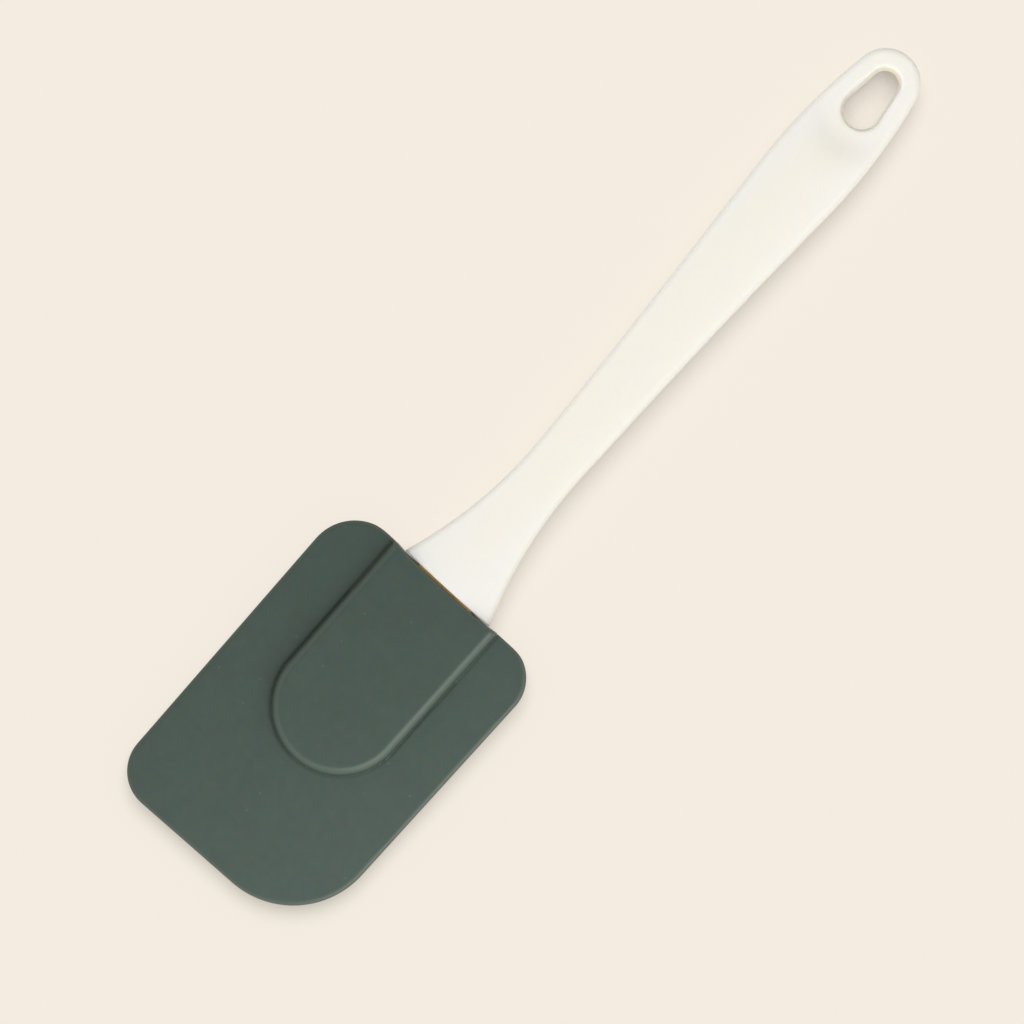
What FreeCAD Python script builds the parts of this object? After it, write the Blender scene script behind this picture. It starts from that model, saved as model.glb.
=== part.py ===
import FreeCAD
import Part
import Sketcher
import math
import os

# A silicone spatula lying on its back: a white moulded handle with a hang hole, a tang core whose
# tail is moulded into the handle, and a silicone head that is pushed over the core's tongue.
# Every piece is drawn about the shoulder, the handle's flat end: y = 0 is that face, +Y runs up the
# handle, -Y down the head, and z = 0 is the mid-plane that the moulds part on. The placement at the
# end brings the middle of the whole length to the origin and the back of the head's pad to z = 0.

SIZES = {
    # silicone head: a thin tapered blade with a raised pocket pad on both faces
    "head_length": 84.4,
    "head_width": 61.4,
    "tip_lean": 1.8,
    "blade_root_thickness": 3.6,
    "blade_tip_thickness": 1.9,
    "blade_edge_bevel": 0.5,
    "corner_radius": 10.5,
    "scraping_corner_radius": 21.8,
    "pad_length": 52.9,
    "pad_width": 33.4,
    "pad_thickness": 10.0,
    "pad_rim_radius": 2.1,
    # fit of the head on the tongue, and the slit that is left in front of the shoulder
    "socket_clearance": 0.1,
    "joint_gap": 0.7,
    # tang core: wedge-shaped tongue, square seat in the shoulder, thin anchored tail
    "tongue_length": 44.0,
    "tongue_width": 17.2,
    "tongue_tip_width": 14.6,
    "tongue_thickness": 7.0,
    "tongue_tip_thickness": 3.6,
    "tongue_corner_radius": 5.5,
    "tongue_edge_bevel": 0.6,
    "flute_length": 26.0,
    "flute_width": 5.0,
    "flute_depth": 0.7,
    "flute_setback": 8.0,
    "seat_depth": 6.0,
    "tail_length": 54.0,
    "tail_width": 7.6,
    "tail_thickness": 3.6,
    "tail_corner_radius": 2.0,
    "anchor_diameter": 3.4,
    "anchor_setback": 14.0,
    "anchor_pitch": 24.0,
    # handle outline, seen from above
    "handle_length": 164.9,
    "shoulder_width": 26.6,
    "neck_width": 13.1,
    "neck_distance": 37.8,
    "swell_radius": 2200.0,
    "grip_width": 20.9,
    "grip_setback": 32.7,
    "end_radius": 8.2,
    # handle section: crowned top and bottom with a bevel down to the flat side, which the moulds part on
    "shoulder_thickness": 9.6,
    "neck_thickness": 8.8,
    "grip_thickness": 9.5,
    "end_thickness": 7.8,
    "crown_overhang": 6.0,
    "handle_edge_bevel": 1.4,
    "shoulder_edge_bevel": 0.4,
    # hang end: flat land with a thumb ramp, tapered hole with rounded lips
    "land_drop": 0.7,
    "land_radius": 12.5,
    "ramp_radius": 30.0,
    "hole_length": 16.7,
    "hole_wide_radius": 4.7,
    "hole_narrow_radius": 3.5,
    "hole_end_wall": 4.2,
    "hole_lip_radius": 0.9,
}

NEAR = 1e-3


def make_sheet(doc):
    """Put the driving sizes in a spreadsheet, one aliased cell each."""
    sheet = doc.addObject("Spreadsheet::Sheet", "sizes")
    for row, (name, value) in enumerate(SIZES.items(), start=1):
        sheet.set(f"A{row}", name)
        sheet.set(f"B{row}", str(value))
        sheet.setAlias(f"B{row}", name)
    doc.recompute()


def origin_plane(body, role):
    return next(item for item in body.Origin.OriginFeatures if item.Role == role)


def new_sketch(body, role, name):
    """A sketch on one of the body's own origin planes."""
    sketch = body.newObject("Sketcher::SketchObject", name)
    sketch.AttachmentSupport = [(origin_plane(body, role), "")]
    sketch.MapMode = "FlatFace"
    return sketch


def drive(sketch, kind, *where, value, by):
    """Add a dimension to the sketch, as drawn, and bind it to the expression in by."""
    index = sketch.addConstraint(Sketcher.Constraint(kind, *where, value))
    sketch.setExpression(f"Constraints[{index}]", by)


def pin(sketch, geometry, point, x, y):
    """Bind one point of the sketch to a place, both coordinates given as expressions."""
    drawn = sketch.getPoint(geometry, point)
    drive(sketch, "DistanceX", -1, 1, geometry, point, value=drawn.x, by=x)
    drive(sketch, "DistanceY", -1, 1, geometry, point, value=drawn.y, by=y)


def polygon(sketch, corners):
    """A closed outline of straight lines through corners given as pairs of expressions."""
    count = len(corners)
    turn = 2 * math.pi / count
    start = [FreeCAD.Vector(math.cos(turn * i), math.sin(turn * i), 0) for i in range(count)]
    lines = [
        sketch.addGeometry(Part.LineSegment(start[i], start[(i + 1) % count]))
        for i in range(count)
    ]
    for i, line in enumerate(lines):
        following = lines[(i + 1) % count]
        sketch.addConstraint(Sketcher.Constraint("Coincident", line, 2, following, 1))
    for line, (x, y) in zip(lines, corners):
        pin(sketch, line, 1, x, y)


def arc(centre, radius, first, last):
    """The counter-clockwise arc about centre that runs from the point first to the point last."""
    angles = [math.atan2(p.y - centre.y, p.x - centre.x) for p in (first, last)]
    if angles[1] < angles[0]:
        angles[1] += 2 * math.pi
    circle = Part.Circle(centre, FreeCAD.Vector(0, 0, 1), radius)
    return Part.ArcOfCircle(circle, angles[0], angles[1])


def pad(body, sketch, name, length):
    """Grow the sketch to both sides of its plane."""
    feature = body.newObject("PartDesign::Pad", name)
    feature.Profile = sketch
    feature.SideType = "Symmetric"
    feature.setExpression("Length", length)
    body.Document.recompute()
    return feature


def pocket(body, sketch, name, length):
    """Cut the sketch out to both sides of its plane, and make sure that it removed material."""
    before = body.Shape.Volume
    feature = body.newObject("PartDesign::Pocket", name)
    feature.Profile = sketch
    feature.SideType = "Symmetric"
    feature.setExpression("Length", length)
    body.Document.recompute()
    assert body.Shape.Volume < before - NEAR, f"{name} cuts nothing"
    return feature


def groove(body, sketch, name):
    """Turn the sketch about its own upright axis, and make sure that it removed material."""
    before = body.Shape.Volume
    feature = body.newObject("PartDesign::Groove", name)
    feature.Profile = sketch
    feature.ReferenceAxis = (sketch, ["V_Axis"])
    body.Document.recompute()
    assert body.Shape.Volume < before - NEAR, f"{name} cuts nothing"
    return feature


def mirror(body, feature, role, name):
    """Repeat a feature on the other side of one of the body's origin planes."""
    before = body.Shape.Volume
    copy = body.newObject("PartDesign::Mirrored", name)
    copy.Originals = [feature]
    copy.MirrorPlane = (origin_plane(body, role), [""])
    body.Tip = copy
    body.Document.recompute()
    assert abs(body.Shape.Volume - before) > NEAR, f"{name} changes nothing"
    return copy


def dress(body, kind, name, wanted):
    """A feature that works on the edges of the body for which wanted(edge) is true."""
    base = body.Tip
    edges = [f"Edge{i}" for i, edge in enumerate(base.Shape.Edges, start=1) if wanted(edge)]
    assert edges, f"{name} finds no edge"
    feature = body.newObject(f"PartDesign::{kind}", name)
    feature.Base = (base, edges)
    return feature


def fillet(body, name, radius, wanted):
    """Round the wanted edges."""
    dress(body, "Fillet", name, wanted).setExpression("Radius", radius)
    body.Document.recompute()


def bevel(body, name, size, wanted):
    """Bevel the wanted edges by the same size on both sides."""
    dress(body, "Chamfer", name, wanted).setExpression("Size", size)
    body.Document.recompute()


def is_upright(edge):
    box = edge.BoundBox
    return box.XLength < NEAR and box.YLength < NEAR


def is_across(edge, y):
    """True for an edge that lies in the plane at y."""
    box = edge.BoundBox
    return abs(box.YMin - y) < NEAR and abs(box.YMax - y) < NEAR


def handle_outline():
    """Centres and tangent points of the four arcs of the handle's right side."""
    vector = FreeCAD.Vector
    neck = SIZES["neck_width"] / 2
    drop = SIZES["shoulder_width"] / 2 - neck
    flare_radius = (drop**2 + SIZES["neck_distance"] ** 2) / (2 * drop)
    flare = vector(neck + flare_radius, SIZES["neck_distance"], 0)
    end = vector(0, SIZES["handle_length"] - SIZES["end_radius"], 0)
    grip = SIZES["grip_width"] / 2
    grip_distance = SIZES["handle_length"] - SIZES["grip_setback"]
    rise = end.y - grip_distance
    belly_radius = (grip**2 + rise**2 - SIZES["end_radius"] ** 2) / (2 * (grip - SIZES["end_radius"]))
    belly = vector(grip - belly_radius, grip_distance, 0)
    to_flare = SIZES["swell_radius"] - flare_radius
    to_belly = SIZES["swell_radius"] + belly_radius
    across = belly - flare
    along = (to_flare**2 - to_belly**2 + across.Length**2) / (2 * across.Length)
    aside = math.sqrt(to_flare**2 - along**2)
    unit = across / across.Length
    swell = flare + unit * along + vector(unit.y, -unit.x, 0) * aside
    return {
        "flare": (flare, flare_radius),
        "swell": (swell, SIZES["swell_radius"]),
        "belly": (belly, belly_radius),
        "end": (end, SIZES["end_radius"]),
        "shoulder_point": vector(SIZES["shoulder_width"] / 2, 0, 0),
        "flare_to_swell": flare + (flare - swell).normalize() * flare_radius,
        "swell_to_belly": belly + (swell - belly).normalize() * belly_radius,
        "belly_to_end": end + (end - belly).normalize() * SIZES["end_radius"],
        "widest_point": vector(grip, grip_distance, 0),
        "top": vector(0, SIZES["handle_length"], 0),
    }


def crown_section(body, name, station, half_width, half_thickness):
    """An elliptical section across the handle; its place and half axes are expressions."""
    sketch = new_sketch(body, "XZ_Plane", name)
    sketch.setExpression("AttachmentOffset.Base.z", f"-({station})")
    vector = FreeCAD.Vector
    wide = SIZES["grip_width"]
    high = SIZES["grip_thickness"] / 2
    ellipse = sketch.addGeometry(Part.Ellipse(vector(wide, 0, 0), vector(0, high, 0), vector(0, 0, 0)))
    sketch.exposeInternalGeometry(ellipse)
    major, minor = ellipse + 1, ellipse + 2
    sketch.addConstraint(Sketcher.Constraint("Coincident", ellipse, 3, -1, 1))
    sketch.addConstraint(Sketcher.Constraint("Horizontal", major))
    drive(sketch, "Distance", major, value=2 * wide, by=f"2 * ({half_width})")
    drive(sketch, "Distance", minor, value=2 * high, by=f"2 * ({half_thickness})")
    return sketch


def handle_trim(body):
    """What lies outside the handle's right edge: four tangent arcs closed by straight lines."""
    outline = handle_outline()
    sketch = new_sketch(body, "XY_Plane", "handle_trim")
    vector = FreeCAD.Vector
    reach = SIZES["shoulder_width"] + SIZES["crown_overhang"]
    far = SIZES["handle_length"] + 2 * SIZES["crown_overhang"]
    near = -SIZES["crown_overhang"]
    side = SIZES["shoulder_width"] / 2
    flare = sketch.addGeometry(arc(*outline["flare"], outline["flare_to_swell"], outline["shoulder_point"]))
    swell = sketch.addGeometry(arc(*outline["swell"], outline["swell_to_belly"], outline["flare_to_swell"]))
    belly = sketch.addGeometry(arc(*outline["belly"], outline["swell_to_belly"], outline["belly_to_end"]))
    end = sketch.addGeometry(arc(*outline["end"], outline["belly_to_end"], outline["top"]))
    border = [outline["top"], vector(0, far, 0), vector(reach, far, 0), vector(reach, near, 0)]
    border += [vector(side, near, 0), outline["shoulder_point"]]
    lines = [sketch.addGeometry(Part.LineSegment(p, q)) for p, q in zip(border, border[1:])]
    for line, following in zip(lines, lines[1:]):
        sketch.addConstraint(Sketcher.Constraint("Coincident", line, 2, following, 1))
    sketch.addConstraint(Sketcher.Constraint("Tangent", flare, 1, swell, 2))
    sketch.addConstraint(Sketcher.Constraint("Tangent", swell, 1, belly, 1))
    sketch.addConstraint(Sketcher.Constraint("Tangent", belly, 2, end, 1))
    sketch.addConstraint(Sketcher.Constraint("Coincident", end, 2, lines[0], 1))
    sketch.addConstraint(Sketcher.Constraint("Coincident", lines[-1], 2, flare, 2))
    sketch.addConstraint(Sketcher.Constraint("PointOnObject", end, 3, -2))
    drive(sketch, "Radius", swell, value=SIZES["swell_radius"], by="sizes.swell_radius")
    drive(sketch, "Radius", end, value=SIZES["end_radius"], by="sizes.end_radius")
    neck = sketch.addGeometry(Part.Point(vector(SIZES["neck_width"] / 2, SIZES["neck_distance"], 0)), True)
    pin(sketch, neck, 1, "sizes.neck_width / 2", "sizes.neck_distance")
    widest = sketch.addGeometry(Part.Point(outline["widest_point"]), True)
    pin(sketch, widest, 1, "sizes.grip_width / 2", "sizes.handle_length - sizes.grip_setback")
    for point, curve in ((neck, flare), (widest, belly)):
        sketch.addConstraint(Sketcher.Constraint("PointOnObject", point, 1, curve))
        sketch.addConstraint(Sketcher.Constraint("Horizontal", point, 1, curve, 3))
    far_by = "sizes.handle_length + 2 * sizes.crown_overhang"
    reach_by = "sizes.shoulder_width + sizes.crown_overhang"
    pin(sketch, lines[0], 1, "0", "sizes.handle_length")
    pin(sketch, lines[1], 1, "0", far_by)
    pin(sketch, lines[2], 1, reach_by, far_by)
    pin(sketch, lines[3], 1, reach_by, "-sizes.crown_overhang")
    pin(sketch, lines[4], 1, "sizes.shoulder_width / 2", "-sizes.crown_overhang")
    pin(sketch, flare, 2, "sizes.shoulder_width / 2", "0")
    return sketch


def hang_hole(body):
    """The tapered hole: a wide and a narrow round end joined by tangent lines."""
    sketch = new_sketch(body, "XY_Plane", "hang_hole")
    vector = FreeCAD.Vector
    wide, narrow = SIZES["hole_wide_radius"], SIZES["hole_narrow_radius"]
    far_end = SIZES["handle_length"] - SIZES["hole_end_wall"]
    low = vector(0, far_end - SIZES["hole_length"] + wide, 0)
    high = vector(0, far_end - narrow, 0)
    lean = (wide - narrow) / (high.y - low.y)
    right = vector(math.sqrt(1 - lean**2), lean, 0)
    left = vector(-right.x, right.y, 0)
    bottom = sketch.addGeometry(arc(low, wide, low + left * wide, low + right * wide))
    top = sketch.addGeometry(arc(high, narrow, high + right * narrow, high + left * narrow))
    side = sketch.addGeometry(Part.LineSegment(low + right * wide, high + right * narrow))
    other = sketch.addGeometry(Part.LineSegment(high + left * narrow, low + left * wide))
    sketch.addConstraint(Sketcher.Constraint("Tangent", bottom, 2, side, 1))
    sketch.addConstraint(Sketcher.Constraint("Tangent", side, 2, top, 1))
    sketch.addConstraint(Sketcher.Constraint("Tangent", top, 2, other, 1))
    sketch.addConstraint(Sketcher.Constraint("Tangent", other, 2, bottom, 1))
    drive(sketch, "Radius", bottom, value=wide, by="sizes.hole_wide_radius")
    drive(sketch, "Radius", top, value=narrow, by="sizes.hole_narrow_radius")
    end_by = "sizes.handle_length - sizes.hole_end_wall"
    pin(sketch, bottom, 3, "0", f"{end_by} - sizes.hole_length + sizes.hole_wide_radius")
    pin(sketch, top, 3, "0", f"{end_by} - sizes.hole_narrow_radius")
    return sketch


def land_level():
    """How far the flat of the hang end lies above and below the mid-plane."""
    return (SIZES["end_thickness"] - SIZES["land_drop"]) / 2


def hang_land(body):
    """Half section of the dish about the land's own axis: flat land, then the round thumb ramp."""
    sketch = new_sketch(body, "YZ_Plane", "hang_land")
    sketch.setExpression("AttachmentOffset.Base.x", "sizes.handle_length - sizes.land_radius")
    vector = FreeCAD.Vector
    level = land_level()
    radius = SIZES["ramp_radius"]
    foot = vector(-SIZES["land_radius"], level, 0)
    top = level + radius
    crest = vector(foot.x - radius, top, 0)
    corners = [foot, vector(0, level, 0), vector(0, top, 0), crest]
    ramp = sketch.addGeometry(arc(vector(foot.x, top, 0), radius, crest, foot))
    lines = [sketch.addGeometry(Part.LineSegment(p, q)) for p, q in zip(corners, corners[1:])]
    loop = [ramp, *lines]
    for piece, following in zip(loop, loop[1:] + loop[:1]):
        sketch.addConstraint(Sketcher.Constraint("Coincident", piece, 2, following, 1))
    level_by = "(sizes.end_thickness - sizes.land_drop) / 2"
    top_by = f"{level_by} + sizes.ramp_radius"
    pin(sketch, lines[0], 1, "-sizes.land_radius", level_by)
    pin(sketch, lines[1], 1, "0", level_by)
    pin(sketch, lines[2], 1, "0", top_by)
    pin(sketch, ramp, 1, "-sizes.land_radius - sizes.ramp_radius", top_by)
    sketch.addConstraint(Sketcher.Constraint("Vertical", ramp, 3, ramp, 2))
    return sketch


def handle_body(doc):
    """The whole outer form of the handle, without the room for the core's tail."""
    body = doc.addObject("PartDesign::Body", "handle_form")
    overhang = "sizes.crown_overhang"
    widest = "sizes.handle_length - sizes.grip_setback"
    sections = [
        ("shoulder", "0", "sizes.shoulder_width / 2", "sizes.shoulder_thickness / 2"),
        ("neck", "sizes.neck_distance", "sizes.neck_width / 2", "sizes.neck_thickness / 2"),
        ("grip", widest, "sizes.grip_width / 2", "sizes.grip_thickness / 2"),
        ("end", f"sizes.handle_length + {overhang}", "sizes.end_radius", "sizes.end_thickness / 2"),
    ]
    sketches = [
        crown_section(body, f"{name}_section", station, f"{half} + {overhang}", thick)
        for name, station, half, thick in sections
    ]
    doc.recompute()
    crown = body.newObject("PartDesign::AdditiveLoft", "crown")
    crown.Profile = sketches[0]
    crown.Sections = sketches[1:]
    doc.recompute()
    depth = "2 * (sizes.shoulder_thickness + sizes.grip_thickness)"
    trim = pocket(body, handle_trim(body), "outline_cut", depth)
    mirror(body, trim, "YZ_Plane", "outline_cut_left")
    bevel(
        body,
        "side_bevels",
        "sizes.handle_edge_bevel",
        lambda edge: not is_upright(edge) and not is_across(edge, 0),
    )
    bevel(body, "shoulder_bevel", "sizes.shoulder_edge_bevel", lambda edge: is_across(edge, 0))
    land = groove(body, hang_land(body), "land_cut")
    mirror(body, land, "XY_Plane", "land_cut_back")
    pocket(body, hang_hole(body), "hole_cut", depth)
    level = land_level()
    reach = SIZES["hole_wide_radius"] + NEAR

    def on_lip(edge):
        box = edge.BoundBox
        flat = box.ZLength < NEAR and abs(abs(box.ZMax) - level) < NEAR
        return flat and max(abs(box.XMin), abs(box.XMax)) < reach

    fillet(body, "hole_lips", "sizes.hole_lip_radius", on_lip)
    return body


def tongue_body(doc, name, grow, end):
    """The wedge of the core's tongue, from its tip up to y = end, larger by grow on every side."""
    body = doc.addObject("PartDesign::Body", name)
    tip = f"(-sizes.tongue_length - {grow})"
    lean = "(sizes.tongue_width - sizes.tongue_tip_width) / 2 / sizes.tongue_length"
    slope = "(sizes.tongue_thickness - sizes.tongue_tip_thickness) / 2 / sizes.tongue_length"

    def half_width(y):
        return f"(sizes.tongue_width / 2 + {grow} + {lean} * {y})"

    def half_thickness(y):
        return f"(sizes.tongue_thickness / 2 + {grow} + {slope} * {y})"

    profile = new_sketch(body, "YZ_Plane", f"{name}_profile")
    polygon(profile, [(end, half_thickness(end)), (tip, half_thickness(tip)),
                      (tip, f"-{half_thickness(tip)}"), (end, f"-{half_thickness(end)}")])
    # the wedge starts too wide, and the side cuts reach past it all round
    pad(body, profile, f"{name}_wedge", f"3 * {half_width(end)}")
    past_end = f"(2 * {end})"
    past_tip = f"(2 * {tip})"
    past_side = f"2 * {half_width(end)}"
    sides = new_sketch(body, "XY_Plane", f"{name}_sides")
    polygon(sides, [(half_width(past_end), past_end), (past_side, past_end),
                    (past_side, past_tip), (half_width(past_tip), past_tip)])
    side_cut = pocket(body, sides, f"{name}_side", f"4 * {half_thickness(end)}")
    mirror(body, side_cut, "YZ_Plane", f"{name}_other_side")
    mouth = body.Shape.BoundBox.YMax
    fillet(
        body,
        f"{name}_tip_corners",
        f"sizes.tongue_corner_radius + {grow}",
        lambda edge: is_upright(edge) and edge.BoundBox.YMax < 0,
    )
    bevel(
        body,
        f"{name}_edges",
        "sizes.tongue_edge_bevel",
        lambda edge: not is_upright(edge) and not is_across(edge, mouth),
    )
    return body


def tang_core(doc):
    """Tongue with a flute on both faces, seat in the shoulder and anchored tail, one moulding."""
    body = tongue_body(doc, "tang_core", "0", "sizes.seat_depth")
    slope = "(sizes.tongue_thickness - sizes.tongue_tip_thickness) / 2 / sizes.tongue_length"
    near = "(-sizes.flute_setback)"
    far = "(-sizes.flute_setback - sizes.flute_length)"
    above = "sizes.tongue_thickness"
    floor = "sizes.tongue_thickness / 2 - sizes.flute_depth"
    section = new_sketch(body, "YZ_Plane", "flute_section")
    polygon(section, [(near, f"{floor} + {slope} * {near}"), (near, above),
                      (far, above), (far, f"{floor} + {slope} * {far}")])
    flute = pocket(body, section, "flute", "sizes.flute_width")
    mirror(body, flute, "XY_Plane", "flute_back")
    half = "sizes.tail_width / 2"
    tail_end = "sizes.seat_depth + sizes.tail_length"
    plan = new_sketch(body, "XY_Plane", "tail_plan")
    polygon(plan, [(half, "0"), (half, tail_end), (f"-{half}", tail_end), (f"-{half}", "0")])
    pad(body, plan, "tail", "sizes.tail_thickness")
    seat = SIZES["seat_depth"]
    fillet(
        body,
        "tail_corners",
        "sizes.tail_corner_radius",
        lambda edge: is_upright(edge) and edge.BoundBox.YMin > seat + NEAR,
    )
    anchors = new_sketch(body, "XY_Plane", "anchor_holes")
    radius = SIZES["anchor_diameter"] / 2
    first = seat + SIZES["anchor_setback"]
    places = [(first, ""), (first + SIZES["anchor_pitch"], " + sizes.anchor_pitch")]
    for y, further in places:
        circle = Part.Circle(FreeCAD.Vector(0, y, 0), FreeCAD.Vector(0, 0, 1), radius)
        hole = anchors.addGeometry(circle)
        pin(anchors, hole, 3, "0", f"sizes.seat_depth + sizes.anchor_setback{further}")
        drive(anchors, "Radius", hole, value=radius, by="sizes.anchor_diameter / 2")
    pocket(body, anchors, "anchors", "2 * sizes.tail_thickness")
    return body


def pad_plan(body):
    """The raised pocket pad seen from above: straight sides and a full round end."""
    sketch = new_sketch(body, "XY_Plane", "pad_plan")
    vector = FreeCAD.Vector
    half = SIZES["pad_width"] / 2
    mouth = -SIZES["joint_gap"]
    turn = mouth - SIZES["pad_length"] + half
    corners = [vector(half, turn, 0), vector(half, mouth, 0)]
    corners += [vector(-half, mouth, 0), vector(-half, turn, 0)]
    round_end = sketch.addGeometry(arc(vector(0, turn, 0), half, corners[3], corners[0]))
    lines = [sketch.addGeometry(Part.LineSegment(p, q)) for p, q in zip(corners, corners[1:])]
    loop = [round_end, *lines]
    for piece, following in zip(loop, loop[1:] + loop[:1]):
        sketch.addConstraint(Sketcher.Constraint("Coincident", piece, 2, following, 1))
    turn_by = "-sizes.joint_gap - sizes.pad_length + sizes.pad_width / 2"
    pin(sketch, lines[0], 1, "sizes.pad_width / 2", turn_by)
    pin(sketch, lines[1], 1, "sizes.pad_width / 2", "-sizes.joint_gap")
    pin(sketch, lines[2], 1, "-sizes.pad_width / 2", "-sizes.joint_gap")
    pin(sketch, round_end, 1, "-sizes.pad_width / 2", turn_by)
    sketch.addConstraint(Sketcher.Constraint("Horizontal", round_end, 3, round_end, 1))
    return sketch


def head_body(doc):
    """The whole outer form of the silicone head, without the socket."""
    body = doc.addObject("PartDesign::Body", "head_form")
    mouth = "(-sizes.joint_gap)"
    tip = "(-sizes.joint_gap - sizes.head_length)"
    root, edge_half = "sizes.blade_root_thickness / 2", "sizes.blade_tip_thickness / 2"
    profile = new_sketch(body, "YZ_Plane", "blade_profile")
    polygon(profile, [(mouth, root), (tip, edge_half), (tip, f"-{edge_half}"), (mouth, f"-{root}")])
    pad(body, profile, "blade", "sizes.head_width")
    lean = "sizes.tip_lean / sizes.head_length"
    half = "sizes.head_width / 2"
    before = "(-sizes.joint_gap + sizes.head_length)"
    past = "(-sizes.joint_gap - 2 * sizes.head_length)"
    side = new_sketch(body, "XY_Plane", "leaning_side")
    polygon(side, [(f"{half} + {lean} * sizes.head_length", before), ("sizes.head_width", before),
                   ("sizes.head_width", past), (f"{half} - {lean} * 2 * sizes.head_length", past)])
    pocket(body, side, "leaning_side_cut", "2 * sizes.blade_root_thickness")
    tip_y = -SIZES["joint_gap"] - SIZES["head_length"]

    def is_scraping_corner(edge):
        return is_upright(edge) and edge.BoundBox.XMin > 0 and abs(edge.BoundBox.YMin - tip_y) < NEAR

    fillet(body, "scraping_corner", "sizes.scraping_corner_radius", is_scraping_corner)
    mouth_y = -SIZES["joint_gap"]
    width = SIZES["head_width"]

    def is_small_corner(edge):
        box = edge.BoundBox
        left_tip = abs(box.XMin + width / 2) < NEAR and abs(box.YMin - tip_y) < NEAR
        return is_upright(edge) and (left_tip or abs(box.YMin - mouth_y) < NEAR)

    fillet(body, "corners", "sizes.corner_radius", is_small_corner)
    pad(body, pad_plan(body), "pocket_pad", "sizes.pad_thickness")
    face = SIZES["pad_thickness"] / 2

    def is_rim(edge):
        box = edge.BoundBox
        return box.ZLength < NEAR and abs(abs(box.ZMin) - face) < NEAR and not is_across(edge, mouth_y)

    fillet(body, "pad_rim", "sizes.pad_rim_radius", is_rim)
    blade_root = SIZES["blade_root_thickness"] / 2
    wall = SIZES["pad_width"] / 2
    turn = mouth_y - SIZES["pad_length"] + wall

    def is_outline(edge):
        """True for the blade's outer edges, which lie outside the pad's upright wall."""
        box = edge.BoundBox
        on_blade = max(abs(box.ZMin), abs(box.ZMax)) < blade_root + NEAR
        middle = edge.valueAt(edge.getParameterByLength(edge.Length / 2))
        outside = math.hypot(middle.x, min(middle.y - turn, 0)) > wall + NEAR
        return on_blade and outside and not is_upright(edge)

    bevel(body, "blade_edges", "sizes.blade_edge_bevel", is_outline)
    return body


def cut(doc, label, base, tool):
    """The finished piece: base with the room for tool taken out of it."""
    piece = doc.addObject("Part::Cut", label)
    piece.Base = base
    piece.Tool = tool
    return piece


def place(body):
    """Move a body from the shoulder to the part's own frame."""
    thickest = "max(sizes.pad_thickness; sizes.shoulder_thickness; sizes.grip_thickness)"
    body.setExpression("Placement.Base.y", "(sizes.head_length + sizes.joint_gap - sizes.handle_length) / 2")
    body.setExpression("Placement.Base.z", f"{thickest} / 2")


def main():
    doc = FreeCAD.newDocument("spatula")
    make_sheet(doc)
    handle_form = handle_body(doc)
    core = tang_core(doc)
    head_form = head_body(doc)
    socket = tongue_body(doc, "socket", "sizes.socket_clearance", "sizes.seat_depth")
    for body in (handle_form, core, head_form, socket):
        place(body)
    pieces = [cut(doc, "handle", handle_form, core), core, cut(doc, "silicone_head", head_form, socket)]
    doc.recompute()
    for item in doc.Objects:
        assert not {"Invalid", "Error"} & set(item.State), f"{item.Label} failed: {item.State}"
    os.makedirs("parts", exist_ok=True)
    for piece in pieces:
        shape = piece.Shape
        assert not shape.isNull() and shape.isValid(), f"{piece.Label} has no valid shape"
        shape.exportStep(f"parts/{piece.Label}.step")
        box = shape.optimalBoundingBox()
        print(f"{piece.Label}: {len(shape.Solids)} solid, {shape.Volume:.0f} mm3, {box}")


main()
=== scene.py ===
# %% [markdown]
# # A silicone spatula
# The real thing is three mouldings: a white plastic handle, a honey-coloured nylon core whose tail
# sits inside that handle, and a dark silicone head that is pushed over the core's tongue.
# Nothing on it is drawn free-hand. Each form is a flat outline that is given thickness, crowned,
# rounded and pierced, so each one can be written as a rule and grown by Geometry Nodes.
# The first cell opens the measured frame. Sizes below are in millimetres, and Blender works in
# metres.

# %% Open the frame
import math

import bpy
from mathutils import Matrix, Vector


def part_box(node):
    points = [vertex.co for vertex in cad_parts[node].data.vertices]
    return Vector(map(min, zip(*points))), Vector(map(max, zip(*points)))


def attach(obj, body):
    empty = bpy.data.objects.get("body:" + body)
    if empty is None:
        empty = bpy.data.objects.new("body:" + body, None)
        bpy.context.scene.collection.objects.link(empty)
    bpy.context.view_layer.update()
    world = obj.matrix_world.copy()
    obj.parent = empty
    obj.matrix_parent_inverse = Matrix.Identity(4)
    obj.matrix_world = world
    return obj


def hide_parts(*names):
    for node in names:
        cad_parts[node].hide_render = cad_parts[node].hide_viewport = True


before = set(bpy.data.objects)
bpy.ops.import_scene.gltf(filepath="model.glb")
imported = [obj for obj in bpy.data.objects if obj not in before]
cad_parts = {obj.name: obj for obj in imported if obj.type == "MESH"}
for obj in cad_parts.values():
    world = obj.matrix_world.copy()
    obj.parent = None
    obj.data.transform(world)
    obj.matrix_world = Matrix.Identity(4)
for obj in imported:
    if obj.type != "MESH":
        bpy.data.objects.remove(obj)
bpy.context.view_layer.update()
MM = 0.001
head_low, head_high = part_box("silicone_head")
handle_low, handle_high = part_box("handle")
core_low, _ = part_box("tang_core")
SHOULDER = handle_low.y
MOUTH = head_high.y
MIDDLE = (head_low.z + head_high.z) / 2
print(f"shoulder {SHOULDER / MM:.1f} mm, mouth {MOUTH / MM:.1f} mm, middle {MIDDLE / MM:.1f} mm")


# %% [markdown]
# ## One helper for every node
# Shader trees and geometry trees are built from the same few moves: make a node, set its options,
# then fill or link its inputs. Each could be written out line by line, but one function that does
# all three keeps the trees short enough to read. An input may be a number, a socket, or a whole
# node, which then stands for its first output.

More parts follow.
